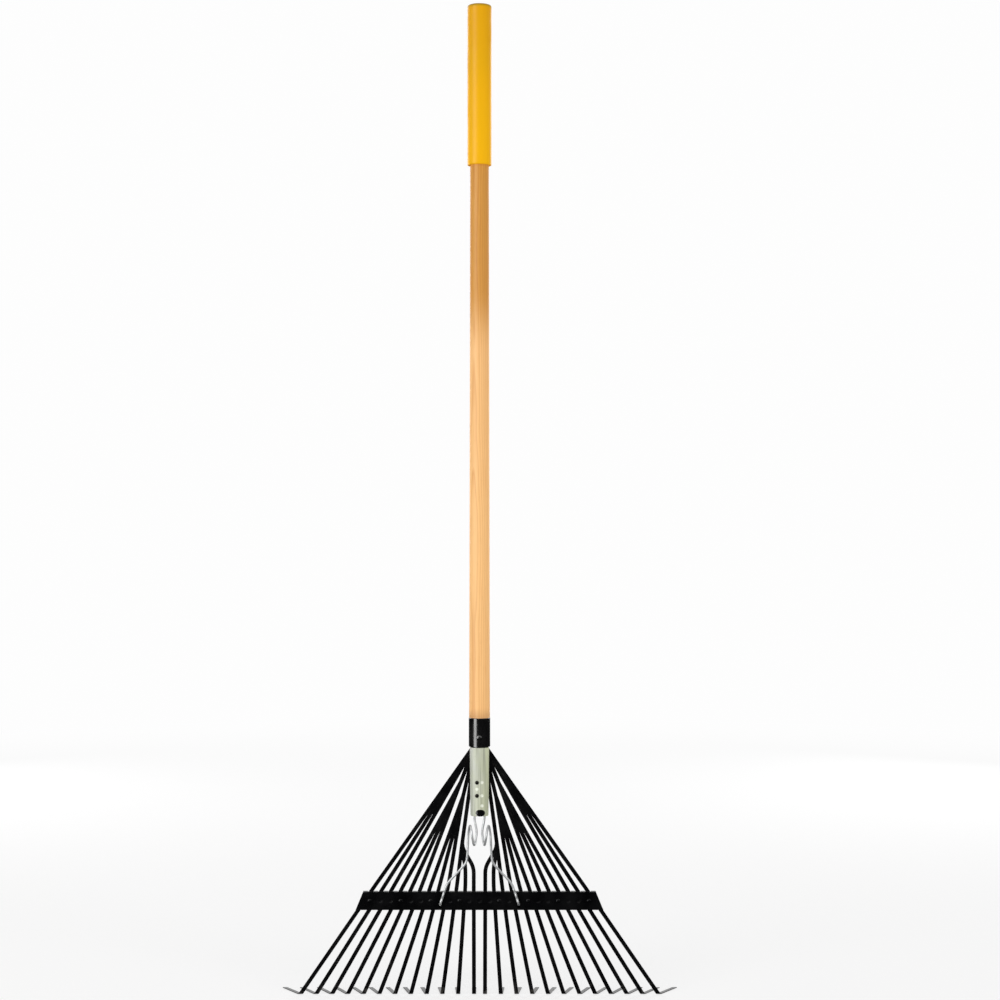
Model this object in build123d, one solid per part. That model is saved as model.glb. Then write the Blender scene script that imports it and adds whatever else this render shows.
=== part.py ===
from build123d import *
from math import cos, pi, sin, sqrt
import os

# Leaf rake with a spring brace.
# Millimetres, +Z up the handle. The origin is on the handle's axis, level with the underside of
# the hooks. The brace stands on the -Y side and the hooks point to +Y.

# ---- handle, grip and ferrule ----
FERRULE_BOTTOM = 397.0
FERRULE_TOP = 443.0
FERRULE_OUTER_R = 17.1
FERRULE_INNER_R = 15.7
SHAFT_LOW_R = 16.7
SHAFT_TOP_R = 15.05
SPIGOT_R = 15.55
SPIGOT_BOTTOM = 406.0
GRIP_BOTTOM = 1326.0
GRIP_TOP = 1582.0
GRIP_R = 19.25
GRIP_BORE_R = 15.15
GRIP_END_WALL = 4.0
GRIP_TOP_EDGE = 3.0
GRIP_LOW_EDGE = 1.5
GRIP_SEAT_GAP = 0.5
SHAFT_GRIP_LAP = 2.0
SHAFT_SHOULDER_GAP = 0.2
SHAFT_END_CHAMFER = 1.0
FERRULE_LIP = 0.5

# ---- flat strip tines ----
TINES_PER_SIDE = 12
FIRST_LEVEL_X = 9.2
LEVEL_STEP = 13.2
LEVEL_GROWTH = 0.1
FIRST_HOOK_X = 8.8
HOOK_STEP = 25.28
STRIP_WIDTH = 6.35
STRIP_THICKNESS = 1.0
LAYER_PITCH = 1.05
GROUP_SIZE = 3
ROOT_X = 5.6
ROOT_TOP = 437.0
APEX_Z = 403.0
LEVEL_Z = 175.0
HOOK_REACH = 43.9
HOOK_BEND_R = 3.5
HOOK_BEND_STEPS = 6
CORNER_REACH = 3.0
MIDDLE_TURN_Z = 203.0
MIDDLE_REACH = 9.0
LAYERS_START = 340.0
LAYERS_END = 180.0
SPREAD_START = 206.0
SPREAD_END = 172.0

# ---- spreader bar ----
BAR_TOP = 165.0
BAR_BOTTOM = 136.0
BAR_TOP_HALF = 186.0
BAR_BOTTOM_HALF = 198.0
BAR_SHEET = 1.2
BAR_FRONT = -5.2
BAR_LIP_BACK = 4.0
NOTCH_GAP = 0.4
STRIP_SEAT_GAP = 0.25
BAR_RIVET_AFTER = (1, 4, 7, 10)
BAR_RIVET_R = 1.6
BAR_RIVET_HEAD_R = 3.3
BAR_RIVET_HEAD_HEIGHT = 1.2
BAR_RIVET_COLLAR_R = 2.3
BAR_DIMPLE_AFTER = (0, 2, 5, 6, 8, 9)
BAR_DIMPLE_R = 3.4
BAR_DIMPLE_DEPTH = 0.6
BACK_STRIP_GAP = 0.3

# ---- spring brace wire ----
WIRE_R = 1.8
WIRE_BORE_R = 1.95
WIRE_X = 8.0
WIRE_Y = -8.9
WIRE_TOP = 372.0
WIRE_MOUTH_Z = 285.0
COIL_Z = 259.0
COIL_R = 15.0
COIL_X = 4.5
COIL_PITCH = 13.0
COIL_BACK_Y = -12.1
COIL_STEPS = 20
LEAD_STEPS = 5
LEAD_ABOVE_COIL = 3.0
LEG_BELOW_COIL = 4.0
LEG_COIL_GAP = 0.3
WIRE_CORNER_STEPS = 6
LEG_KNEE = (20.0, -11.7, 213.0)
LEG_ANKLE = (52.0, -10.8, 179.0)
LEG_CORNER_REACHES = (9.0, 7.0, 3.4)
HOOK_X = 62.8
HOOK_Z = 145.5
HOOK_WIRE_Y = -8.9
HOOK_TIP_Y = -1.6
SLOT_WIDTH = 4.6
SLOT_BELOW = 7.0
SLOT_ABOVE = 5.2

# ---- clamp that joins the tine roots and the brace to the handle ----
COVER_TOP = 396.0
COVER_BOTTOM = 287.0
COVER_TOP_R = 16.8
COVER_BOTTOM_R = 15.9
COVER_SHEET = 1.6
COVER_BACK_Y = -6.7
COVER_CORNER_R = 6.0
NOSE_X = 1.5
NOSE_Z = 292.0
NOSE_HALF_WIDE = 7.2
NOSE_HALF_TALL = 5.2
WINDOW_GAP = 0.4
CORE_GAP = 0.15
CORE_TOP = 398.0
CORE_BOTTOM = 290.0
TONGUE_HALF = 8.6
TONGUE_FRONT = -8.3
TONGUE_BOTTOM = 393.0
TONGUE_SLOT_GAP = 0.3
PLATE_FRONT = 6.45
PLATE_BACK = 8.05
PLATE_BOTTOM = 300.0
PLATE_NECK = 392.0
PLATE_HALF = 14.0
WEDGE_TOP = 376.0
WEDGE_MID = 321.0
WEDGE_BOTTOM = 303.0
WEDGE_TOP_HALF = 5.7
WEDGE_LOW_HALF = 12.0
WEDGE_FRONT = -7.2
WEDGE_BACK = 6.4
CLAMP_RIVET_X = -3.9
CLAMP_RIVET_Z = (341.0, 320.0)
CLAMP_RIVET_R = 1.85
CLAMP_RIVET_HEAD_R = 3.1
CLAMP_RIVET_HEAD_HEIGHT = 1.2
CLAMP_RIVET_SEAT = 16.32
PUNCH_X = 4.2
PUNCH_Z = (341.0, 320.0, 304.0)
PUNCH_R = 4.0
PUNCH_DEPTH = 0.8
BOLT_Z = 412.0
BOLT_R = 2.0
BOLT_HEAD_R = 4.2
BOLT_HEAD_HEIGHT = 2.0
ROOT_PIN_Z = 428.0
ROOT_PIN_R = 1.5
PIN_GAP = 0.05
SEAT_GAP = 0.02
RIVET_RIM = 0.35

COVER_TAPER = (COVER_TOP_R - COVER_BOTTOM_R) / (COVER_TOP - COVER_BOTTOM)

# Half the reach of a cutter that goes right through the clamp or the ferrule, and the extra
# reach of one that only has to clear a face.
THROUGH = 40.0
CLEAR = 1.0


# Where the strip counted outward from the middle crosses a level: the gap to the next strip
# starts at `pitch` and widens by twice `growth` with every strip.
def fan_x(order, first, pitch, growth):
    return first + pitch * order + growth * order * order


def level_x(order):
    return fan_x(order, FIRST_LEVEL_X, LEVEL_STEP, LEVEL_GROWTH)


def hook_x(order):
    return fan_x(order, FIRST_HOOK_X, HOOK_STEP, 0.0)


# Each group of three strips lies in one pile down to a parting point (x, z). The outer group
# parts at once, at the apex.
PARTING = ((28.5, 236.0), (26.0, 318.0), (30.0, 340.0), None)


# Straight runs joined by parabolic corners: value and slope at any height. A knot is its
# height, its value and how far the corner reaches up and down from it.
class RoundedLine:
    def __init__(self, knots):
        self.knots = sorted(knots)

    def run_slope(self, index):
        (z0, v0, _), (z1, v1, _) = self.knots[index:index + 2]
        return (v1 - v0) / (z1 - z0)

    def at(self, z):
        last_run = len(self.knots) - 2
        for index in range(1, last_run + 1):
            corner_z, corner_value, reach = self.knots[index]
            offset = z - corner_z
            if abs(offset) <= reach:
                before = self.run_slope(index - 1)
                bend = (self.run_slope(index) - before) / (4 * reach)
                value = corner_value + before * offset + bend * (offset + reach) ** 2
                return value, before + 2 * bend * (offset + reach)
        run = sum(1 for knot in self.knots[1:last_run + 1] if z > knot[0])
        start_z, start_value, _ = self.knots[run]
        slope = self.run_slope(run)
        return start_value + slope * (z - start_z), slope

    def levels(self):
        found = [self.knots[0][0], self.knots[-1][0]]
        for z, _, reach in self.knots[1:-1]:
            found += [z + reach * step / 2 for step in (-2, -1, 0, 1, 2)]
        return found


def side_path(order):
    parting = PARTING[order // GROUP_SIZE]
    middle_pair = order < 2
    reach = MIDDLE_REACH if middle_pair else CORNER_REACH
    knots = [(ROOT_TOP, ROOT_X, 0.0), (APEX_Z, ROOT_X, CORNER_REACH),
             (LEVEL_Z, level_x(order), reach), (0.0, hook_x(order), 0.0)]
    if parting:
        knots.append((parting[1], parting[0], reach))
    if middle_pair:
        knots.append((MIDDLE_TURN_Z, level_x(order), reach))
    return RoundedLine(knots)


# The pile's depth runs out between two levels, then the three strips of a group settle into
# one plane just above the spreader bar. The outermost strip is at the front of the pile.
def depth_path(order):
    layer = TINES_PER_SIDE - 1 - order
    in_pile = (layer - (TINES_PER_SIDE - 1) / 2) * LAYER_PITCH
    in_group = (layer % GROUP_SIZE - (GROUP_SIZE - 1) / 2) * LAYER_PITCH
    share_left = (SPREAD_START - LAYERS_END) / (LAYERS_START - LAYERS_END)
    return RoundedLine([(ROOT_TOP, in_pile, 0.0),
                        (LAYERS_START, in_pile, CORNER_REACH),
                        (SPREAD_START, in_group + (in_pile - in_group) * share_left, CORNER_REACH),
                        (SPREAD_END, 0.0, CORNER_REACH),
                        (0.0, 0.0, 0.0)])


# A cross-section of a strip: a rectangle with one side along X. `lean` is the side-to-side
# slope of the strip and (normal_y, normal_z) is the direction through its thickness.
def strip_section(x, y, z, lean, normal_y, normal_z, stretch=1.0):
    half = STRIP_WIDTH / 2 * sqrt(1 + lean * lean)
    dy = normal_y * STRIP_THICKNESS / 2 * stretch
    dz = normal_z * STRIP_THICKNESS / 2 * stretch
    corners = [(x - half, y - dy, z - dz), (x + half, y - dy, z - dz),
               (x + half, y + dy, z + dz), (x - half, y + dy, z + dz)]
    return Face(Wire.make_polygon([Vector(*corner) for corner in corners], close=True))


def make_tine(order, side):
    across = side_path(order)
    depth = depth_path(order)
    bend_z = HOOK_BEND_R + STRIP_THICKNESS / 2
    heights = across.levels() + depth.levels()
    levels = sorted({round(z, 4) for z in heights if z > bend_z + CLEAR}, reverse=True)
    sections = []
    for z in levels + [bend_z]:
        x, lean = across.at(z)
        y, tilt = depth.at(z)
        sections.append(strip_section(side * x, y, z, lean, 1.0, 0.0, sqrt(1 + tilt * tilt)))
    x, lean = across.at(bend_z)
    for step in range(1, HOOK_BEND_STEPS + 1):
        turn = pi / 2 * step / HOOK_BEND_STEPS
        y = HOOK_BEND_R * (1 - cos(turn))
        z = bend_z - HOOK_BEND_R * sin(turn)
        along = HOOK_BEND_R * turn
        sections.append(strip_section(side * (x - lean * along), y, z, lean,
                                      cos(turn), sin(turn)))
    along = HOOK_BEND_R * pi / 2 + HOOK_REACH - HOOK_BEND_R
    sections.append(strip_section(side * (x - lean * along), HOOK_REACH,
                                  STRIP_THICKNESS / 2, lean, 0.0, 1.0))
    strip = loft(sections, ruled=True)
    return strip - along_y(ROOT_PIN_R + PIN_GAP, side * ROOT_X, ROOT_PIN_Z, -THROUGH, THROUGH)


# A round bar along Y from one depth to another.
def along_y(radius, x, z, y_from, y_to):
    middle = (x, (y_from + y_to) / 2, z)
    return Pos(*middle) * Rot(90, 0, 0) * Cylinder(radius, y_to - y_from)


def block(x_from, x_to, y_from, y_to, z_from, z_to):
    centre = ((x_from + x_to) / 2, (y_from + y_to) / 2, (z_from + z_to) / 2)
    return Pos(*centre) * Box(x_to - x_from, y_to - y_from, z_to - z_from)


# A slab cut to a front-view outline of (x, z) points.
def front_slab(points, y_from, y_to):
    outline = Wire.make_polygon([Vector(x, y_from, z) for x, z in points], close=True)
    return Solid.extrude(Face(outline), Vector(0, y_to - y_from, 0))


# A body of revolution from (radius, z) points.
def turned(points):
    outline = Wire.make_polygon([Vector(r, 0, z) for r, z in points], close=True)
    return revolve(Face(outline), Axis.Z)


def both_sides(positions):
    return [side * x for x in positions for side in (-1, 1)]


def make_handle_shaft():
    shoulder = FERRULE_TOP + SHAFT_SHOULDER_GAP
    end = GRIP_TOP - GRIP_END_WALL - GRIP_SEAT_GAP
    shaft = turned([(0, SPIGOT_BOTTOM), (SPIGOT_R, SPIGOT_BOTTOM), (SPIGOT_R, shoulder),
                    (SHAFT_LOW_R, shoulder), (SHAFT_TOP_R, GRIP_BOTTOM - SHAFT_GRIP_LAP),
                    (SHAFT_TOP_R, end - SHAFT_END_CHAMFER),
                    (SHAFT_TOP_R - SHAFT_END_CHAMFER, end), (0, end)])
    slot_half = TONGUE_HALF + TONGUE_SLOT_GAP
    slot = block(-slot_half, slot_half, TONGUE_FRONT - TONGUE_SLOT_GAP,
                 PLATE_BACK + TONGUE_SLOT_GAP, SPIGOT_BOTTOM - CLEAR, ROOT_TOP + CLEAR)
    return shaft - slot - bolt_hole()


def bolt_hole():
    return along_y(BOLT_R + PIN_GAP, 0, BOLT_Z, -THROUGH, THROUGH)


def make_end_grip():
    outside = Pos(0, 0, (GRIP_BOTTOM + GRIP_TOP) / 2) * Cylinder(GRIP_R, GRIP_TOP - GRIP_BOTTOM)
    rims = outside.edges().filter_by(GeomType.CIRCLE).sort_by(Axis.Z)
    outside = fillet(rims[-1], GRIP_TOP_EDGE)
    rims = outside.edges().filter_by(GeomType.CIRCLE).sort_by(Axis.Z)
    outside = fillet(rims[0], GRIP_LOW_EDGE)
    bore_top = GRIP_TOP - GRIP_END_WALL
    bore = Pos(0, 0, (GRIP_BOTTOM + bore_top) / 2) * Cylinder(GRIP_BORE_R, bore_top - GRIP_BOTTOM)
    return outside - bore


def make_ferrule():
    lip_r = FERRULE_OUTER_R - FERRULE_LIP
    tube = turned([(FERRULE_INNER_R, FERRULE_BOTTOM), (lip_r, FERRULE_BOTTOM),
                   (FERRULE_OUTER_R, FERRULE_BOTTOM + FERRULE_LIP),
                   (FERRULE_OUTER_R, FERRULE_TOP - FERRULE_LIP),
                   (lip_r, FERRULE_TOP), (FERRULE_INNER_R, FERRULE_TOP)])
    return tube - bolt_hole()


# A rivet along Y with a domed front head and a flatter back one: (radius, distance along the
# rivet) points turned about its own axis. A collar is its radius, start and end.
def make_rivet(x, z, shank_r, head_r, head_height, front, back, collar=None):
    rim = head_height * RIVET_RIM
    points = [(0, -head_height), (head_r * 0.55, -head_height * 0.9), (head_r, -rim),
              (head_r, 0), (shank_r, 0)]
    length = back - front
    if collar:
        collar_r, collar_from, collar_to = collar
        points += [(shank_r, collar_from - front), (collar_r, collar_from - front),
                   (collar_r, collar_to - front), (shank_r, collar_to - front)]
    points += [(shank_r, length), (head_r * 0.85, length), (head_r * 0.85, length + rim),
               (head_r * 0.45, length + head_height * 0.7), (0, length + head_height * 0.7)]
    return Pos(x, front, z) * Rot(-90, 0, 0) * turned(points)


def make_clamp_cover():
    height = COVER_TOP - COVER_BOTTOM
    middle = Pos(0, 0, (COVER_TOP + COVER_BOTTOM) / 2)
    outside = middle * Cone(COVER_BOTTOM_R, COVER_TOP_R, height)
    inside = middle * Cone(COVER_BOTTOM_R - COVER_SHEET, COVER_TOP_R - COVER_SHEET, height)
    wide = 2 * COVER_TOP_R
    shell = (outside - inside) & block(-wide, wide, -wide, COVER_BACK_Y, COVER_BOTTOM, COVER_TOP)
    shell -= nose_oval(WINDOW_GAP, -wide, COVER_BACK_Y)
    shell &= rounded_front(COVER_TOP_R, COVER_BOTTOM, COVER_TOP, COVER_CORNER_R, -wide, 0)
    for z in CLAMP_RIVET_Z:
        shell -= along_y(CLAMP_RIVET_R + PIN_GAP, CLAMP_RIVET_X, z, -wide, 0)
    for z in PUNCH_Z:
        shell -= punch_ball(z)
    return shell


# An oval bar along Y where the end of the core shows, grown all round by `gap`.
def nose_oval(gap, y_from, y_to):
    radius = NOSE_HALF_TALL + gap
    reach = NOSE_HALF_WIDE - NOSE_HALF_TALL
    oval = block(NOSE_X - reach, NOSE_X + reach, y_from, y_to, NOSE_Z - radius, NOSE_Z + radius)
    for side in (-1, 1):
        oval += along_y(radius, NOSE_X + side * reach, NOSE_Z, y_from, y_to)
    return oval


# Front-view slab with its two lower corners rounded.
def rounded_front(half, bottom, top, corner_r, y_from, y_to):
    slab = block(-half, half, y_from, y_to, bottom, top)
    lower = [edge for edge in slab.edges().filter_by(Axis.Y) if edge.center().Z < bottom + CLEAR]
    return fillet(lower, corner_r)


# The ball that presses a shallow punch mark into the cover's curved face.
def punch_ball(z):
    cover_r = COVER_BOTTOM_R + COVER_TAPER * (z - COVER_BOTTOM)
    surface_y = -sqrt(cover_r ** 2 - PUNCH_X ** 2)
    outward = PUNCH_R - PUNCH_DEPTH
    scale = outward / cover_r
    return Pos(PUNCH_X * (1 + scale), surface_y * (1 + scale), z) * Sphere(PUNCH_R)


# The wire from the crown of its loop, inside the core, down to where it leaves the clamp.
def wire_loop_half():
    crown = Vector(0, WIRE_Y, WIRE_TOP)
    shoulder = Vector(WIRE_X, WIRE_Y, WIRE_TOP - WIRE_X)
    mouth = Vector(WIRE_X, WIRE_Y, WIRE_MOUTH_Z)
    bend = Edge.make_tangent_arc(crown, Vector(1, 0, 0), shoulder)
    return [bend, Edge.make_line(shoulder, mouth)]


# A round bar along a path that starts on the middle plane, joined to its mirror image.
def mirrored_bar(path_edges, radius):
    path = Wire(path_edges)
    section = Plane(origin=path @ 0, z_dir=path % 0) * Circle(radius)
    half = sweep(section, path=path)
    return half + mirror(half, about=Plane.YZ)


def make_clamp_core():
    height = CORE_TOP - CORE_BOTTOM
    gap = COVER_SHEET + CORE_GAP
    low_r = COVER_BOTTOM_R + COVER_TAPER * (CORE_BOTTOM - COVER_BOTTOM) - gap
    top_r = COVER_BOTTOM_R + COVER_TAPER * (CORE_TOP - COVER_BOTTOM) - gap
    body = Pos(0, 0, (CORE_TOP + CORE_BOTTOM) / 2) * Cone(low_r, top_r, height)
    body &= block(-top_r, top_r, -top_r, COVER_BACK_Y, CORE_BOTTOM, CORE_TOP)
    nose = nose_oval(0, -low_r, COVER_BACK_Y) & Pos(0, 0, NOSE_Z) * Cylinder(low_r, THROUGH)
    tongue = block(-TONGUE_HALF, TONGUE_HALF, TONGUE_FRONT, COVER_BACK_Y, TONGUE_BOTTOM, ROOT_TOP)
    wedge = front_slab([(-WEDGE_TOP_HALF, WEDGE_TOP), (WEDGE_TOP_HALF, WEDGE_TOP),
                        (WEDGE_LOW_HALF, WEDGE_MID), (WEDGE_LOW_HALF, WEDGE_BOTTOM),
                        (-WEDGE_LOW_HALF, WEDGE_BOTTOM), (-WEDGE_LOW_HALF, WEDGE_MID)],
                       WEDGE_FRONT, WEDGE_BACK)
    core = body + nose + tongue + wedge
    core -= mirrored_bar(wire_loop_half(), WIRE_BORE_R)
    for z in CLAMP_RIVET_Z:
        core -= along_y(CLAMP_RIVET_R + PIN_GAP, CLAMP_RIVET_X, z, -THROUGH, THROUGH)
    for z in PUNCH_Z:
        core -= punch_ball(z)
    return without_root_holes(core)


def without_root_holes(shape):
    shape -= bolt_hole()
    for x in both_sides([ROOT_X]):
        shape -= along_y(ROOT_PIN_R + PIN_GAP, x, ROOT_PIN_Z, -THROUGH, THROUGH)
    return shape


def make_clamp_back_plate():
    plate = rounded_front(PLATE_HALF, PLATE_BOTTOM, PLATE_NECK, COVER_CORNER_R,
                          PLATE_FRONT, PLATE_BACK)
    plate += block(-TONGUE_HALF, TONGUE_HALF, PLATE_FRONT, PLATE_BACK, PLATE_NECK, ROOT_TOP)
    for z in CLAMP_RIVET_Z:
        plate -= along_y(CLAMP_RIVET_R + PIN_GAP, CLAMP_RIVET_X, z, 0, THROUGH)
    return without_root_holes(plate)


def make_ferrule_rivet():
    seat = FERRULE_OUTER_R + SEAT_GAP
    return make_rivet(0, BOLT_Z, BOLT_R, BOLT_HEAD_R, BOLT_HEAD_HEIGHT, -seat, seat)


def make_clamp_rivets():
    return [make_rivet(CLAMP_RIVET_X, z, CLAMP_RIVET_R, CLAMP_RIVET_HEAD_R,
                       CLAMP_RIVET_HEAD_HEIGHT, -CLAMP_RIVET_SEAT, PLATE_BACK + SEAT_GAP)
            for z in CLAMP_RIVET_Z]


def make_root_pins():
    return [along_y(ROOT_PIN_R, x, ROOT_PIN_Z, TONGUE_FRONT, PLATE_BACK)
            for x in both_sides([ROOT_X])]


# The bar's front view, drawn in all round by `inset`.
def bar_outline(inset=0.0):
    slope = (BAR_BOTTOM_HALF - BAR_TOP_HALF) / (BAR_TOP - BAR_BOTTOM)
    top_half = BAR_TOP_HALF + slope * inset - inset
    low_half = BAR_BOTTOM_HALF - slope * inset - inset
    top = BAR_TOP - inset
    low = BAR_BOTTOM + inset
    return [(-top_half, top), (top_half, top), (low_half, low), (-low_half, low)]


# Halfway up the bar, midway between a tine and the next one out, on both sides.
def between_tines(orders):
    z = (BAR_TOP + BAR_BOTTOM) / 2
    gaps = [(side_path(order).at(z)[0] + side_path(order + 1).at(z)[0]) / 2 for order in orders]
    return [(x, z) for x in both_sides(gaps)]


# The ball that presses a shallow dimple into the bar's front sheet.
def dimple_ball(x, z):
    radius = (BAR_DIMPLE_R ** 2 + BAR_DIMPLE_DEPTH ** 2) / (2 * BAR_DIMPLE_DEPTH)
    return Pos(x, BAR_FRONT + BAR_DIMPLE_DEPTH - radius, z) * Sphere(radius)


# The slot that a strip passes through in one of the bar's lips.
def tine_notch(order, side, z):
    x, lean = side_path(order).at(z)
    half = STRIP_WIDTH / 2 * sqrt(1 + lean * lean) + abs(lean) * BAR_SHEET / 2 + NOTCH_GAP
    return block(side * x - half, side * x + half, -STRIP_THICKNESS / 2 - STRIP_SEAT_GAP,
                 BAR_LIP_BACK + CLEAR, z - BAR_SHEET, z + BAR_SHEET)


# The upright slot that one end of the brace hooks into.
def wire_slot(side):
    return block(side * HOOK_X - SLOT_WIDTH / 2, side * HOOK_X + SLOT_WIDTH / 2,
                 BAR_FRONT - CLEAR, BAR_FRONT + BAR_SHEET + CLEAR,
                 HOOK_Z - SLOT_BELOW, HOOK_Z + SLOT_ABOVE)


def make_spreader_channel():
    solid = front_slab(bar_outline(), BAR_FRONT, BAR_LIP_BACK)
    top_in = BAR_TOP - BAR_SHEET
    low_in = BAR_BOTTOM + BAR_SHEET
    wide = 2 * BAR_BOTTOM_HALF
    solid -= block(-wide, wide, BAR_FRONT + BAR_SHEET, BAR_LIP_BACK + CLEAR,
                   low_in, top_in)
    lips = (BAR_TOP - BAR_SHEET / 2, BAR_BOTTOM + BAR_SHEET / 2)
    cutters = [tine_notch(order, side, z)
               for order in range(TINES_PER_SIDE) for side in (-1, 1) for z in lips]
    cutters += [wire_slot(side) for side in (-1, 1)]
    cutters += [along_y(BAR_RIVET_R + PIN_GAP, x, z, -THROUGH, 0)
                for x, z in between_tines(BAR_RIVET_AFTER)]
    dimples = [(0, (BAR_TOP + BAR_BOTTOM) / 2)] + between_tines(BAR_DIMPLE_AFTER)
    cutters += [dimple_ball(x, z) for x, z in dimples]
    for cutter in cutters:
        solid -= cutter
    return solid


def make_spreader_back_strip():
    front = STRIP_THICKNESS / 2 + STRIP_SEAT_GAP
    strip = front_slab(bar_outline(BAR_SHEET + BACK_STRIP_GAP), front, front + BAR_SHEET)
    for x, z in between_tines(BAR_RIVET_AFTER):
        strip -= along_y(BAR_RIVET_R + PIN_GAP, x, z, 0, THROUGH)
    return strip


def make_spreader_rivets():
    strip_front = STRIP_THICKNESS / 2 + STRIP_SEAT_GAP
    collar = (BAR_RIVET_COLLAR_R, BAR_FRONT + BAR_SHEET + SEAT_GAP, strip_front - SEAT_GAP)
    return [make_rivet(x, z, BAR_RIVET_R, BAR_RIVET_HEAD_R, BAR_RIVET_HEAD_HEIGHT,
                       BAR_FRONT - SEAT_GAP, strip_front + BAR_SHEET + SEAT_GAP, collar)
            for x, z in between_tines(BAR_RIVET_AFTER)]


# Points on a run of straight wire whose corners are rounded over a length at each side.
def rounded_points(corners, reaches):
    points = [corners[0]]
    for before, corner, after, reach in zip(corners, corners[1:], corners[2:], reaches):
        enter = corner + (before - corner).normalized() * reach
        leave = corner + (after - corner).normalized() * reach
        for step in range(WIRE_CORNER_STEPS + 1):
            share = step / WIRE_CORNER_STEPS
            points.append(enter * (1 - share) ** 2 + corner * (2 * share * (1 - share))
                          + leave * share ** 2)
    points.append(corners[-1])
    return points


# One side of the brace below the clamp: out of the core, once round the coil, then outward
# and down the front of the tines to a hook in the bar.
def brace_side_points():
    centre_y = COIL_BACK_Y - COIL_R
    mouth = Vector(WIRE_X, WIRE_Y, WIRE_MOUTH_Z)
    coil_start = Vector(COIL_X, COIL_BACK_Y, COIL_Z + LEAD_ABOVE_COIL)
    points = []
    for step in range(LEAD_STEPS + 1):
        share = step / LEAD_STEPS
        ease = share * share * (3 - 2 * share)
        points.append(Vector(mouth.X + (coil_start.X - mouth.X) * ease,
                             mouth.Y + (coil_start.Y - mouth.Y) * ease,
                             mouth.Z + (coil_start.Z - mouth.Z) * share))
    for step in range(COIL_STEPS + 1):
        share = step / COIL_STEPS
        turn = 2 * pi * share
        points.append(Vector(COIL_X + COIL_PITCH * share, centre_y + COIL_R * cos(turn),
                             COIL_Z - COIL_R * sin(turn)))
    leg_top = Vector(COIL_X + COIL_PITCH + LEG_COIL_GAP, COIL_BACK_Y, COIL_Z - LEG_BELOW_COIL)
    corners = [leg_top, Vector(*LEG_KNEE), Vector(*LEG_ANKLE),
               Vector(HOOK_X, HOOK_WIRE_Y, HOOK_Z), Vector(HOOK_X, HOOK_TIP_Y, HOOK_Z)]
    return points + rounded_points(corners, LEG_CORNER_REACHES)


def make_spring_brace():
    side = Edge.make_spline(brace_side_points(), tangents=[Vector(0, 0, -1), Vector(0, 1, 0)])
    return mirrored_bar(wire_loop_half() + [side], WIRE_R)


def save(name, shape):
    solids = shape if isinstance(shape, list) else [shape]
    pieces = [solid for item in solids for solid in item.solids()]
    export_step(pieces[0] if len(pieces) == 1 else Compound(children=pieces),
                f"parts/{name}.step")


os.makedirs("parts", exist_ok=True)
save("handle_shaft", make_handle_shaft())
save("end_grip", make_end_grip())
save("ferrule", make_ferrule())
save("ferrule_rivet", make_ferrule_rivet())
save("clamp_cover", make_clamp_cover())
save("clamp_core", make_clamp_core())
save("clamp_back_plate", make_clamp_back_plate())
save("clamp_rivets", make_clamp_rivets())
save("root_pins", make_root_pins())
save("spreader_channel", make_spreader_channel())
save("spreader_back_strip", make_spreader_back_strip())
save("spreader_rivets", make_spreader_rivets())
save("spring_brace", make_spring_brace())
for order in range(TINES_PER_SIDE):
    save(f"tine_{TINES_PER_SIDE - order:02d}", make_tine(order, -1))
    save(f"tine_{TINES_PER_SIDE + 1 + order:02d}", make_tine(order, 1))
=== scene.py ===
import math

import bmesh
import bpy
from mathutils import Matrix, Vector


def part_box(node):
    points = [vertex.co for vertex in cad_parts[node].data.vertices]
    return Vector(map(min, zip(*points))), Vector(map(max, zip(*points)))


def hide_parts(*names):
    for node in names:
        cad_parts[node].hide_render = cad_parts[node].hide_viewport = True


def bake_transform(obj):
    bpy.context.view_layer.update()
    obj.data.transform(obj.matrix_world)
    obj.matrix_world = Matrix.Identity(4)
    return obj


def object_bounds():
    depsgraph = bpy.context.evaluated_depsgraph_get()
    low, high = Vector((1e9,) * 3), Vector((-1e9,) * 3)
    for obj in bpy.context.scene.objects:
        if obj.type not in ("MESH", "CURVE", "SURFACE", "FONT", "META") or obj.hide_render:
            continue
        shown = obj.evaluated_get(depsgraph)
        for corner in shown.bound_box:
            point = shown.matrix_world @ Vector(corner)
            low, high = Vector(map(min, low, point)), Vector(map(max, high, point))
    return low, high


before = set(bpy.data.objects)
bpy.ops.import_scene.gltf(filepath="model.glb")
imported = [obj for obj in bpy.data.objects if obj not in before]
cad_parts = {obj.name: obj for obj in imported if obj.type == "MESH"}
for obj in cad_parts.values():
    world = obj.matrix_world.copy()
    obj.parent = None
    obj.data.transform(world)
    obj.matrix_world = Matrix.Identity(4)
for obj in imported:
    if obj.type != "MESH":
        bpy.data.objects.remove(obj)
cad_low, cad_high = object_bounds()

# Leaf rake with a spring brace: metres, +Z up the handle, the brace on the -Y side and the hooks
# pointing to +Y. The tines and the brace bend between the bodies they join, so they are copies
# of their CAD meshes, the tines cut into level rows. The other pieces are the CAD nodes themselves,
# repainted.

MM = 0.001
WHITE = (1.0, 1.0, 1.0, 1.0)

# ---- where the parts bend ----
BEND_TOP = 0.360
BEND_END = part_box("spreader_channel")[1].z
BEND_ROW = 5 * MM

# ---- meshes ----
WELD_DISTANCE = 0.0001 * MM
FLAT_ANGLE = math.radians(0.2)
STRIP_EDGE = 0.28 * MM
EDGE_ANGLE = math.radians(35)
EDGE_SEGMENTS = 2

# ---- clamp cover: painted highlights at three punch marks, and between its two rivets ----
PUNCH_X = 4.2 * MM
PUNCH_LEVELS = (0.341, 0.320, 0.304)
SPOT_BRIGHT_R = 1.6 * MM
SPOT_FADED_R = 3.4 * MM

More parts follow.
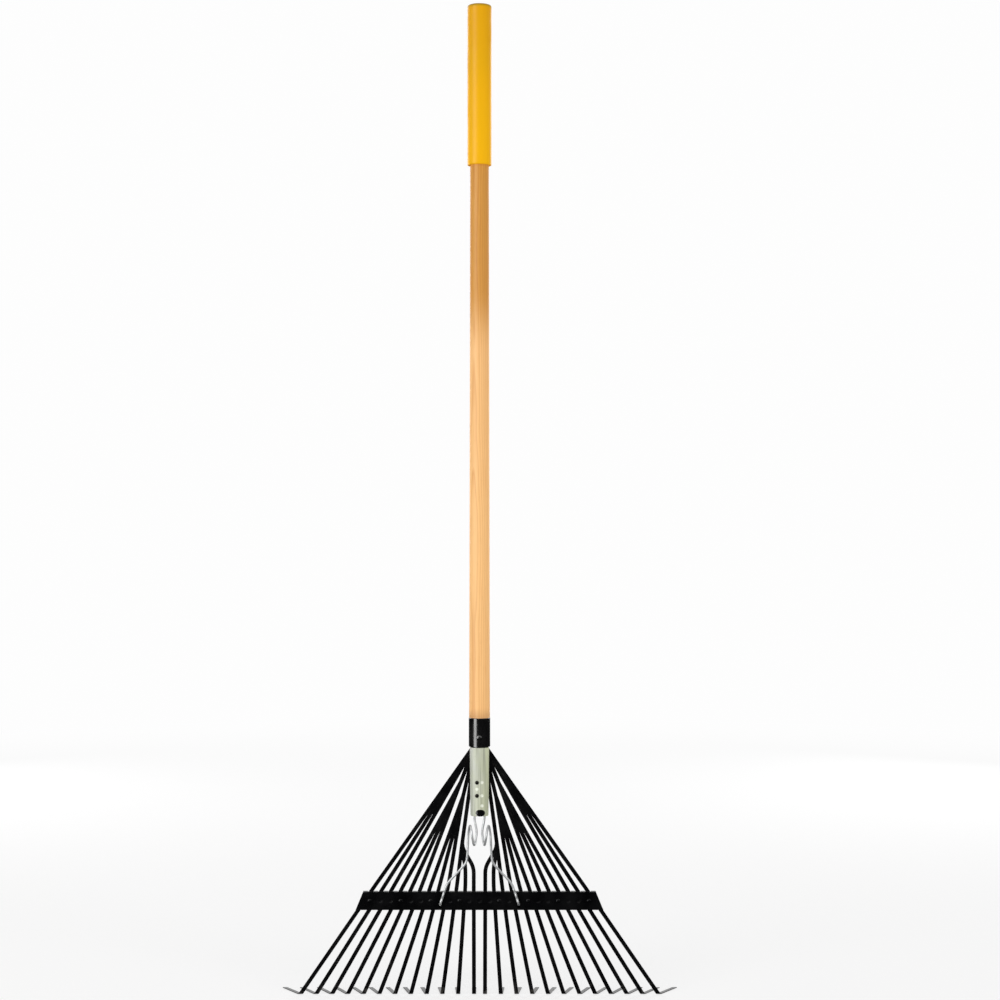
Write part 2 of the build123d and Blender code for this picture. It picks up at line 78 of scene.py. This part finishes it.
# ---- studio ----
CAMERA_DISTANCE = 3.2
FRAME_HEIGHT = 1.6
SENSOR = 36.0
CAMERA_SIDE = 0.0328
FLOOR_GAP = 0.5 * MM
FLOOR_MIDDLE_R = 0.5
FLOOR_FADE = (1.0, 4.0)
STUDIO_RADIUS = 6.0
STUDIO_HEIGHT = 5.0
STUDIO_CURVE = 2.0
STUDIO_CURVE_STEPS = 12
STUDIO_SIDES = 96
BACKDROP_LEVEL = 0.985
FLOOR_GLOW = 0.68
FLOOR_WHITE = (0.97, 0.97, 0.97, 1.0)
AMBIENT = 0.46
CARD_GLOW = 6.0
MIRRORED_SKY = 1.25
MIRRORED_FLOOR = 0.03
HORIZON_FADE = (0.04, 0.26)

# Lights and cards stand on a circle round the handle. Azimuth 0 is the camera's side.
SOFTBOXES = (
    dict(name="key_softbox", azimuth=-47, distance=2.6, height=1.15, width=1.2, tall=2.4, power=32),
    dict(name="fill_softbox", azimuth=52, distance=3.0, height=1.1, width=1.0, tall=2.2, power=30,
         mirrored=False),
    dict(name="back_softbox", azimuth=150, distance=3.0, height=1.3, width=1.2, tall=2.2, power=26),
    dict(name="back_left_softbox", azimuth=215, distance=3.0, height=1.3, width=1.0, tall=2.2,
         power=24),
)
HIGHLIGHT_CARD = dict(name="key_card", azimuth=-47, distance=2.5, height=1.0, width=1.3, tall=2.6)


def srgb(red, green, blue):
    """A colour given as 0-255 display values, as the linear values a shader takes."""
    def linear(value):
        share = value / 255
        return share / 12.92 if share <= 0.04045 else ((share + 0.055) / 1.055) ** 2.4
    return (linear(red), linear(green), linear(blue), 1.0)


# ------------------------------------------------------------------ materials
class Finish:
    """A Principled material built up from procedural layers. Positions are in metres."""

    def __init__(self, name, metallic=0.0, specular=0.5, coat=0.0, coat_roughness=0.1):
        self.material = bpy.data.materials.new(name)
        self.material.use_nodes = True
        self.nodes = self.material.node_tree.nodes
        self.links = self.material.node_tree.links
        self.shader = self.nodes["Principled BSDF"]
        self.set("Metallic", metallic)
        self.set("Specular IOR Level", specular)
        self.set("Coat Weight", coat)
        self.set("Coat Roughness", coat_roughness)
        self.place = self.nodes.new("ShaderNodeTexCoord").outputs["Object"]

    def set(self, name, value):
        self.join(value, self.shader.inputs[name])

    def join(self, value, socket):
        if isinstance(value, bpy.types.NodeSocket):
            self.links.new(value, socket)
        else:
            socket.default_value = value

    def stretched(self, x, y, z, offset=(0.0, 0.0, 0.0)):
        node = self.nodes.new("ShaderNodeMapping")
        self.join(self.place, node.inputs["Vector"])
        node.inputs["Scale"].default_value = (x, y, z)
        node.inputs["Location"].default_value = offset
        return node.outputs["Vector"]

    def noise(self, scale, stretch=(1.0, 1.0, 1.0), detail=4.0, distortion=0.0):
        node = self.nodes.new("ShaderNodeTexNoise")
        self.join(self.stretched(*stretch), node.inputs["Vector"])
        node.inputs["Scale"].default_value = scale
        node.inputs["Detail"].default_value = detail
        node.inputs["Distortion"].default_value = distortion
        return node.outputs["Fac"]

    def math(self, operation, first, second=0.0):
        node = self.nodes.new("ShaderNodeMath")
        node.operation = operation
        self.join(first, node.inputs[0])
        self.join(second, node.inputs[1])
        return node.outputs[0]

    def axis(self, letter):
        node = self.nodes.new("ShaderNodeSeparateXYZ")
        self.join(self.place, node.inputs[0])
        return node.outputs[letter]

    def rescale(self, value, low, high, to_low=0.0, to_high=1.0):
        node = self.nodes.new("ShaderNodeMapRange")
        node.interpolation_type = "SMOOTHSTEP"
        for socket, number in zip(node.inputs, (value, low, high, to_low, to_high)):
            self.join(number, socket)
        return node.outputs["Result"]

    def ramp(self, value, *stops):
        node = self.nodes.new("ShaderNodeValToRGB")
        self.join(value, node.inputs["Fac"])
        elements = node.color_ramp.elements
        while len(elements) < len(stops):
            elements.new(1.0)
        for element, (position, colour) in zip(elements, stops):
            element.position = position
            element.color = colour
        return node.outputs["Color"]

    def mix(self, share, first, second, blend="MIX"):
        node = self.nodes.new("ShaderNodeMix")
        node.data_type = "RGBA"
        node.blend_type = blend
        colours = [socket for socket in node.inputs if socket.type == "RGBA"]
        self.join(share, node.inputs[0])
        self.join(first, colours[0])
        self.join(second, colours[1])
        return next(socket for socket in node.outputs if socket.type == "RGBA")

    def bump(self, *layers):
        """Each layer is (height, strength, depth in metres)."""
        normal = None
        for height, strength, depth in layers:
            node = self.nodes.new("ShaderNodeBump")
            self.join(height, node.inputs["Height"])
            node.inputs["Strength"].default_value = strength
            node.inputs["Distance"].default_value = depth
            if normal is not None:
                self.join(normal, node.inputs["Normal"])
            normal = node.outputs["Normal"]
        self.set("Normal", normal)

    def spot(self, x, z, inner, outer):
        """1 near a point of the front view, fading to 0 at the outer radius."""
        across = self.math("SUBTRACT", self.axis("X"), x)
        along = self.math("SUBTRACT", self.axis("Z"), z)
        squares = [self.math("MULTIPLY", value, value) for value in (across, along)]
        return self.rescale(self.math("SQRT", self.math("ADD", *squares)), outer, inner)

    def edge_wear_and_highlight(self, radius, low, high):
        """1 on edges sharper than the radius, broken up by noise, and 0 on open faces."""
        rounded = self.nodes.new("ShaderNodeBevel")
        rounded.samples = 4
        rounded.inputs["Radius"].default_value = radius
        flat = self.nodes.new("ShaderNodeNewGeometry")
        dot = self.nodes.new("ShaderNodeVectorMath")
        dot.operation = "DOT_PRODUCT"
        self.join(rounded.outputs["Normal"], dot.inputs[0])
        self.join(flat.outputs["Normal"], dot.inputs[1])
        edge = self.rescale(dot.outputs["Value"], 0.995, 0.85)
        patches = self.rescale(self.noise(90.0, detail=6.0), low, high)
        return self.math("MULTIPLY", edge, patches)


def wood_finish():
    """Varnished hardwood pole: rings cut lengthwise, fine fibres and pores, deeper colour
    towards the grip and a grubby band where the ferrule starts."""
    wood = Finish("varnished_wood", specular=0.20)
    drift = wood.noise(9.0, (1.0, 1.0, 0.22), detail=3.0)
    rings = wood.nodes.new("ShaderNodeVectorMath")
    rings.operation = "LENGTH"
    wood.join(wood.stretched(1.0, 1.0, 0.012, (0.034, 0.046, 0.0)), rings.inputs[0])
    distance = wood.math("ADD", wood.math("MULTIPLY", rings.outputs["Value"], 300.0),
                         wood.math("MULTIPLY", drift, 7.0))
    ring = wood.math("FRACT", distance)
    grain = wood.ramp(ring, (0.0, srgb(246, 194, 130)), (0.55, srgb(240, 186, 120)),
                      (0.86, srgb(220, 156, 90)), (1.0, srgb(244, 191, 126)))
    fibres = wood.noise(1.0, (1500.0, 1500.0, 26.0), detail=5.0)
    pores = wood.rescale(wood.noise(1.0, (2300.0, 2300.0, 70.0), detail=2.0), 0.68, 0.76)
    tone = wood.ramp(fibres, (0.25, srgb(232, 172, 106)), (0.75, srgb(250, 208, 148)))
    colour = wood.mix(0.42, grain, tone)
    colour = wood.mix(wood.math("MULTIPLY", pores, 0.38), colour, srgb(150, 92, 48))
    height = wood.axis("Z")
    towards_grip = wood.rescale(height, 1.02, 1.13)
    colour = wood.mix(towards_grip, colour, srgb(215, 195, 138), "MULTIPLY")
    patches = wood.rescale(wood.noise(6.0, (1.0, 1.0, 0.35), detail=5.0), 0.35, 0.75)
    colour = wood.mix(wood.math("MULTIPLY", patches, 0.22), colour, srgb(206, 140, 84))
    grime = wood.math("MULTIPLY", wood.rescale(height, 0.462, 0.443), 0.35)
    colour = wood.mix(grime, colour, srgb(140, 92, 56))
    wood.set("Base Color", colour)
    wood.set("Roughness", wood.rescale(fibres, 0.2, 0.8, 0.38, 0.56))
    wood.bump((fibres, 0.22, 0.12 * MM), (ring, 0.10, 0.08 * MM), (pores, 0.30, -0.10 * MM))
    return wood.material


def grip_finish():
    """Golden dipped plastic with a faint orange peel, slow runs down its length, rubbed
    patches, and painted shade darkening the closed end's last few millimetres to olive."""
    grip = Finish("golden_grip_plastic", specular=0.15)
    low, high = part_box("end_grip")
    height = grip.axis("Z")
    along = grip.rescale(height, low.z, high.z)
    runs = grip.noise(1.0, (130.0, 130.0, 5.0), detail=3.0)
    colour = grip.ramp(along, (0.0, srgb(238, 176, 2)), (0.45, srgb(233, 171, 2)),
                       (0.72, srgb(224, 165, 2)), (1.0, srgb(222, 160, 2)))
    colour = grip.mix(grip.rescale(runs, 0.40, 0.75, 0.0, 0.35), colour, srgb(222, 166, 8))
    rubbed = grip.rescale(grip.noise(26.0, (1.0, 1.0, 0.6), detail=7.0), 0.52, 0.74)
    colour = grip.mix(grip.math("MULTIPLY", rubbed, 0.16), colour, srgb(208, 148, 8))
    # Painted shade: the closed end is darkened to olive, standing in for the shade on its rounded
    # top.
    end_painted_shade = grip.rescale(height, high.z - 6.5 * MM, high.z - 1.0 * MM)
    colour = grip.mix(grip.math("MULTIPLY", end_painted_shade, 0.72), colour, srgb(146, 122, 20))
    cuff = grip.rescale(height, low.z + 3.2 * MM, low.z + 0.4 * MM)
    colour = grip.mix(grip.math("MULTIPLY", cuff, 0.35), colour, srgb(206, 140, 10))
    grip.set("Base Color", colour)
    peel = grip.noise(620.0, detail=3.0)
    grip.set("Roughness", grip.rescale(rubbed, 0.0, 1.0, 0.38, 0.54))
    grip.bump((peel, 0.12, 0.10 * MM), (runs, 0.18, 0.25 * MM))
    return grip.material


def enamel_finish(name, gloss, wear_and_highlight_share, specular, tips=False):
    """Baked black enamel: orange peel, dust specks and edges rubbed to dull steel, their grey also
    a painted highlight where the edges catch the light. On the tines the last stretch and the hooks
    are scuffed too."""
    enamel = Finish(name, specular=specular)
    cloud = enamel.noise(38.0, detail=5.0)
    colour = enamel.ramp(cloud, (0.30, srgb(2, 2, 3)), (0.75, srgb(8, 8, 9)))
    # Grey edges: rubbed paint, and also a painted highlight where the edges catch the light.
    wear_and_edge_highlight = enamel.math("MULTIPLY", enamel.edge_wear_and_highlight(0.7 * MM, 0.50, 0.66), wear_and_highlight_share)
    if tips:
        near_tip = enamel.rescale(enamel.axis("Z"), 22 * MM, 1 * MM)
        scuff = enamel.rescale(enamel.noise(150.0, (1.0, 1.0, 0.5), detail=8.0), 0.50, 0.68)
        scuff = enamel.math("MULTIPLY", enamel.math("MULTIPLY", near_tip, scuff), 0.55)
        wear_and_edge_highlight = enamel.math("MAXIMUM", wear_and_edge_highlight, scuff)
    colour = enamel.mix(wear_and_edge_highlight, colour, srgb(92, 90, 86))
    enamel.set("Base Color", colour)
    enamel.set("Metallic", enamel.math("MULTIPLY", wear_and_edge_highlight, 0.7))
    enamel.set("Roughness", enamel.rescale(cloud, 0.25, 0.8, gloss, gloss + 0.14))
    enamel.bump((enamel.noise(760.0, detail=2.0), 0.10, 0.06 * MM),
                (enamel.noise(120.0, detail=3.0), 0.10, 0.12 * MM))
    return enamel.material


def painted_highlight_places():
    """(x, z) in the front view of the painted highlights: the punch marks, then midway between the
    rivets.
    """
    low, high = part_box("clamp_rivets")
    middle = (low + high) / 2
    return [(PUNCH_X, level) for level in PUNCH_LEVELS] + [(middle.x, middle.z)]


def cover_finish():
    """Zinc plate with a yellow-green passivation: vertical draw streaks, a slow drift of
    colour across the shell, painted highlights at the punch marks and between the rivets, and small
    dark specks."""
    zinc = Finish("passivated_zinc_cover", metallic=0.12, specular=0.25)
    streaks = zinc.noise(1.0, (420.0, 420.0, 9.0), detail=6.0)
    cloud = zinc.noise(34.0, (1.0, 1.0, 0.5), detail=5.0, distortion=0.6)
    low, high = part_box("clamp_cover")
    across = zinc.rescale(zinc.axis("X"), low.x, high.x)
    base = zinc.ramp(across, (0.0, srgb(198, 200, 192)), (0.30, srgb(192, 194, 182)),
                     (0.7, srgb(198, 201, 180)), (1.0, srgb(204, 209, 176)))
    colour = zinc.mix(zinc.rescale(streaks, 0.38, 0.72), base, srgb(156, 159, 142))
    colour = zinc.mix(zinc.rescale(cloud, 0.45, 0.72, 0.0, 0.40), colour, srgb(182, 187, 154))
    # Painted highlights: bright zinc spots at the punch marks and midway between the rivets.
    painted_highlight = 0.0
    for x, z in painted_highlight_places():
        spot = zinc.spot(x, z, SPOT_BRIGHT_R, SPOT_FADED_R)
        painted_highlight = zinc.math("MAXIMUM", spot, painted_highlight)
    colour = zinc.mix(zinc.math("MULTIPLY", painted_highlight, 0.80), colour, srgb(232, 235, 222))
    spots = zinc.rescale(zinc.noise(420.0, detail=2.0), 0.66, 0.74)
    colour = zinc.mix(zinc.math("MULTIPLY", spots, 0.30), colour, srgb(120, 124, 98))
    zinc.set("Base Color", colour)
    zinc.set("Roughness", zinc.rescale(streaks, 0.2, 0.8, 0.52, 0.68))
    zinc.bump((streaks, 0.30, 0.10 * MM), (cloud, 0.12, 0.30 * MM))
    return zinc.material


def wire_finish():
    """Bright zinc on drawn wire: cloudy plating, fine scratches and grey rubbed spots."""
    wire = Finish("bright_zinc_wire", metallic=0.55, specular=0.5)
    cloud = wire.noise(70.0, detail=6.0)
    scratches = wire.noise(1.0, (900.0, 900.0, 120.0), detail=4.0)
    colour = wire.ramp(cloud, (0.30, srgb(166, 168, 170)), (0.70, srgb(204, 205, 204)))
    rubbed = wire.rescale(scratches, 0.62, 0.78)
    colour = wire.mix(wire.math("MULTIPLY", rubbed, 0.45), colour, srgb(140, 142, 144))
    wire.set("Base Color", colour)
    wire.set("Roughness", wire.rescale(cloud, 0.25, 0.75, 0.34, 0.50))
    wire.bump((scratches, 0.25, 0.05 * MM))
    return wire.material


def steel_finish(name, dark, light, roughness):
    """Plain steel with turning marks and cloudy oxide, for rivets and pins."""
    steel = Finish(name, metallic=0.85, specular=0.5)
    cloud = steel.noise(260.0, detail=6.0)
    marks = steel.noise(1800.0, detail=2.0)
    steel.set("Base Color", steel.ramp(cloud, (0.3, dark), (0.75, light)))
    steel.set("Roughness", steel.rescale(marks, 0.2, 0.8, roughness, roughness + 0.2))
    steel.bump((cloud, 0.25, 0.08 * MM), (marks, 0.15, 0.03 * MM))
    return steel.material


FINISHES = {
    "handle_wood": wood_finish(),
    "grip_plastic": grip_finish(),
    "black_enamel": enamel_finish("gloss_black_enamel", 0.10, 0.50, 0.85),
    "tine_enamel": enamel_finish("black_tine_enamel", 0.16, 0.65, 0.45, tips=True),
    "zinc_cover": cover_finish(),
    "zinc_wire": wire_finish(),
    "dark_rivet": steel_finish("dark_rivet_steel", srgb(22, 22, 20), srgb(52, 50, 44), 0.35),
    "bare_steel": steel_finish("bare_pin_steel", srgb(120, 120, 118), srgb(168, 168, 164), 0.3),
}


# The spreader bar is enamelled like the ferrule, but matter.
BAR_FINISH = enamel_finish("satin_black_enamel", 0.22, 0.40, 0.14)


# ------------------------------------------------------------------ pieces
def node_slots():
    """The record's material slot of each CAD node."""
    return {name: node.data.materials[0].name.split(".")[0]
            for name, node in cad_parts.items()}


def welded_copy(node, piece_name):
    """A new object with the node's mesh, its split corners joined and flat faces merged."""
    mesh = bpy.data.meshes.new(piece_name)
    shape = bmesh.new()
    shape.from_mesh(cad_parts[node].data)
    bmesh.ops.remove_doubles(shape, verts=shape.verts, dist=WELD_DISTANCE)
    bmesh.ops.dissolve_limit(shape, angle_limit=FLAT_ANGLE, verts=shape.verts,
                             edges=shape.edges)
    shape.to_mesh(mesh)
    shape.free()
    piece = bpy.data.objects.new(piece_name, mesh)
    bpy.context.scene.collection.objects.link(piece)
    return piece


def cut_into_rows(piece, low, high, row):
    """Adds level rings of vertices, so that the piece can bend between them."""
    shape = bmesh.new()
    shape.from_mesh(piece.data)
    count = int((high - low) / row)
    for step in range(count + 1):
        everything = shape.verts[:] + shape.edges[:] + shape.faces[:]
        level = low + (high - low) * step / count
        bmesh.ops.bisect_plane(shape, geom=everything, plane_co=(0, 0, level),
                               plane_no=(0, 0, 1), dist=1e-7)
    shape.to_mesh(piece.data)
    shape.free()


def smooth(mesh):
    for face in mesh.polygons:
        face.use_smooth = True


def soften(piece, width):
    """Smooth faces with real rounded edges."""
    smooth(piece.data)
    bevel = piece.modifiers.new("soft_edges", "BEVEL")
    bevel.width = width
    bevel.segments = EDGE_SEGMENTS
    bevel.limit_method = "ANGLE"
    bevel.angle_limit = EDGE_ANGLE
    normals = piece.modifiers.new("even_normals", "WEIGHTED_NORMAL")
    normals.keep_sharp = True


def dress(piece, slot_name):
    piece.data.materials.clear()
    piece.data.materials.append(FINISHES[slot_name])


def add_tine(node, slot_name):
    piece = welded_copy(node, "strip_" + node)
    cut_into_rows(piece, BEND_END - BEND_ROW, BEND_TOP + BEND_ROW, BEND_ROW)
    soften(piece, STRIP_EDGE)
    dress(piece, slot_name)
    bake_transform(piece)
    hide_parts(node)


def add_brace(slot_name):
    piece = welded_copy("spring_brace", "brace_wire")
    smooth(piece.data)
    dress(piece, slot_name)
    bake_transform(piece)
    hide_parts("spring_brace")


def repaint(node, slot_name):
    finish = BAR_FINISH if node.startswith("spreader_") else FINISHES[slot_name]
    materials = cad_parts[node].data.materials
    for index in range(len(materials)):
        materials[index] = finish


for node_name, slot_of_node in node_slots().items():
    if node_name.startswith("tine_"):
        add_tine(node_name, slot_of_node)
    elif node_name == "spring_brace":
        add_brace(slot_of_node)
    else:
        repaint(node_name, slot_of_node)


# ------------------------------------------------------------------ studio
def glow_material(name, level):
    """An even white glow that no light changes."""
    material = bpy.data.materials.new(name)
    material.use_nodes = True
    nodes = material.node_tree.nodes
    nodes.clear()
    glow = nodes.new("ShaderNodeEmission")
    glow.inputs["Strength"].default_value = level
    glow.inputs["Color"].default_value = WHITE
    output = nodes.new("ShaderNodeOutputMaterial")
    material.node_tree.links.new(glow.outputs[0], output.inputs["Surface"])
    return material


def floor_material():
    """A lit white floor that turns into the backdrop's even glow away from the object."""
    material = glow_material("studio_floor_white", BACKDROP_LEVEL)
    nodes, links = material.node_tree.nodes, material.node_tree.links
    lit = nodes.new("ShaderNodeBsdfDiffuse")
    lit.inputs["Color"].default_value = FLOOR_WHITE
    place = nodes.new("ShaderNodeTexCoord")
    reach = nodes.new("ShaderNodeVectorMath")
    reach.operation = "LENGTH"
    fade = nodes.new("ShaderNodeMapRange")
    fade.interpolation_type = "SMOOTHSTEP"
    fade.inputs["From Min"].default_value = FLOOR_FADE[0]
    fade.inputs["From Max"].default_value = FLOOR_FADE[1]
    fade.inputs["To Min"].default_value = FLOOR_GLOW
    mix = nodes.new("ShaderNodeMixShader")
    links.new(place.outputs["Object"], reach.inputs[0])
    links.new(reach.outputs["Value"], fade.inputs["Value"])
    links.new(fade.outputs["Result"], mix.inputs["Fac"])
    links.new(lit.outputs[0], mix.inputs[1])
    links.new(nodes["Emission"].outputs[0], mix.inputs[2])
    links.new(mix.outputs[0], nodes["Material Output"].inputs["Surface"])
    return material


def add_stage_piece(name, mesh, material):
    """A new object for the studio, which is no part of the rake."""
    mesh.materials.append(material)
    piece = bpy.data.objects.new(name, mesh)
    bpy.context.scene.collection.objects.link(piece)
    return piece


def turned_sheet(name, profile, material, closed_middle=False):
    """A smooth sheet turned round the Z axis from (radius, height) points."""
    shape = bmesh.new()
    turns = [2 * math.pi * step / STUDIO_SIDES for step in range(STUDIO_SIDES)]
    rings = [[shape.verts.new((radius * math.cos(turn), radius * math.sin(turn), height))
              for turn in turns]
             for radius, height in profile]
    for inner, outer in zip(rings, rings[1:]):
        for step in range(STUDIO_SIDES):
            after = (step + 1) % STUDIO_SIDES
            shape.faces.new((inner[step], outer[step], outer[after], inner[after]))
    if closed_middle:
        shape.faces.new(rings[0])
    mesh = bpy.data.meshes.new(name)
    shape.to_mesh(mesh)
    shape.free()
    smooth(mesh)
    return add_stage_piece(name, mesh, material)


def add_floor_and_backdrop():
    floor_z = cad_low.z - FLOOR_GAP
    floor = turned_sheet("studio_floor", [(FLOOR_MIDDLE_R, floor_z), (STUDIO_RADIUS, floor_z)],
                         floor_material(), closed_middle=True)
    floor.visible_glossy = False
    turns = [math.pi / 2 * step / STUDIO_CURVE_STEPS for step in range(STUDIO_CURVE_STEPS + 1)]
    wall = [(STUDIO_RADIUS + STUDIO_CURVE * math.sin(turn),
             floor_z + STUDIO_CURVE * (1 - math.cos(turn))) for turn in turns]
    wall.append((STUDIO_RADIUS + STUDIO_CURVE, floor_z + STUDIO_HEIGHT))
    backdrop = turned_sheet("studio_backdrop", wall,
                            glow_material("studio_backdrop_white", BACKDROP_LEVEL))
    backdrop.visible_diffuse = False
    backdrop.visible_glossy = False
    backdrop.visible_shadow = False


def outward_from_handle(azimuth):
    angle = math.radians(azimuth)
    return Vector((math.sin(angle), -math.cos(angle), 0.0))


def add_softbox(name, azimuth, distance, height, width, tall, power, mirrored=True):
    """A rectangular softbox aimed at the middle of the object."""
    data = bpy.data.lights.new(name, "AREA")
    data.shape = "RECTANGLE"
    data.size = width
    data.size_y = tall
    data.energy = power
    light = bpy.data.objects.new(name, data)
    middle = (cad_low + cad_high) / 2
    light.location = outward_from_handle(azimuth) * distance + Vector((0, 0, height))
    light.rotation_mode = "QUATERNION"
    light.rotation_quaternion = (middle - light.location).to_track_quat("-Z", "Y")
    light.visible_glossy = mirrored
    bpy.context.scene.collection.objects.link(light)


def add_highlight_card(name, azimuth, distance, height, width, tall):
    """A glowing card that shows only in reflections: the bright line down round gloss parts."""
    outward = outward_from_handle(azimuth)
    centre = outward * distance + Vector((0, 0, height))
    across = Vector((-outward.y, outward.x, 0.0)) * width / 2
    up = Vector((0, 0, tall / 2))
    corners = [centre - across - up, centre + across - up, centre + across + up,
               centre - across + up]
    mesh = bpy.data.meshes.new(name)
    mesh.from_pydata([tuple(corner) for corner in corners], [], [(0, 1, 2, 3)])
    card = add_stage_piece(name, mesh, glow_material(name + "_glow", CARD_GLOW))
    card.visible_camera = False
    card.visible_diffuse = False
    card.visible_shadow = False


def add_ambient():
    """Even pale surroundings. In reflections they are bright above the horizon and nearly
    black below it, so that upright black faces stay black."""
    world = bpy.data.worlds.new("studio_ambient")
    world.use_nodes = True
    nodes, links = world.node_tree.nodes, world.node_tree.links
    background = nodes["Background"]
    direction = nodes.new("ShaderNodeTexCoord")
    height = nodes.new("ShaderNodeSeparateXYZ")
    mirrored = nodes.new("ShaderNodeMapRange")
    mirrored.interpolation_type = "SMOOTHSTEP"
    mirrored.inputs["From Min"].default_value = HORIZON_FADE[0]
    mirrored.inputs["From Max"].default_value = HORIZON_FADE[1]
    mirrored.inputs["To Min"].default_value = MIRRORED_FLOOR
    mirrored.inputs["To Max"].default_value = MIRRORED_SKY
    path = nodes.new("ShaderNodeLightPath")
    level = nodes.new("ShaderNodeMapRange")
    level.inputs["To Min"].default_value = AMBIENT
    links.new(direction.outputs["Generated"], height.inputs[0])
    links.new(height.outputs["Z"], mirrored.inputs["Value"])
    links.new(mirrored.outputs["Result"], level.inputs["To Max"])
    links.new(path.outputs["Is Glossy Ray"], level.inputs["Value"])
    links.new(level.outputs["Result"], background.inputs["Strength"])
    background.inputs["Color"].default_value = WHITE
    bpy.context.scene.world = world


def add_camera():
    data = bpy.data.cameras.new("camera")
    data.sensor_width = SENSOR
    data.lens = SENSOR * CAMERA_DISTANCE / FRAME_HEIGHT
    camera = bpy.data.objects.new("camera", data)
    camera.location = (CAMERA_SIDE, -CAMERA_DISTANCE, (cad_low.z + cad_high.z) / 2)
    camera.rotation_euler = (math.pi / 2, 0, 0)
    bpy.context.scene.collection.objects.link(camera)
    bpy.context.scene.camera = camera


add_floor_and_backdrop()
add_ambient()
for softbox in SOFTBOXES:
    add_softbox(**softbox)
add_highlight_card(**HIGHLIGHT_CARD)
add_camera()
bpy.context.scene.view_settings.view_transform = "Standard"
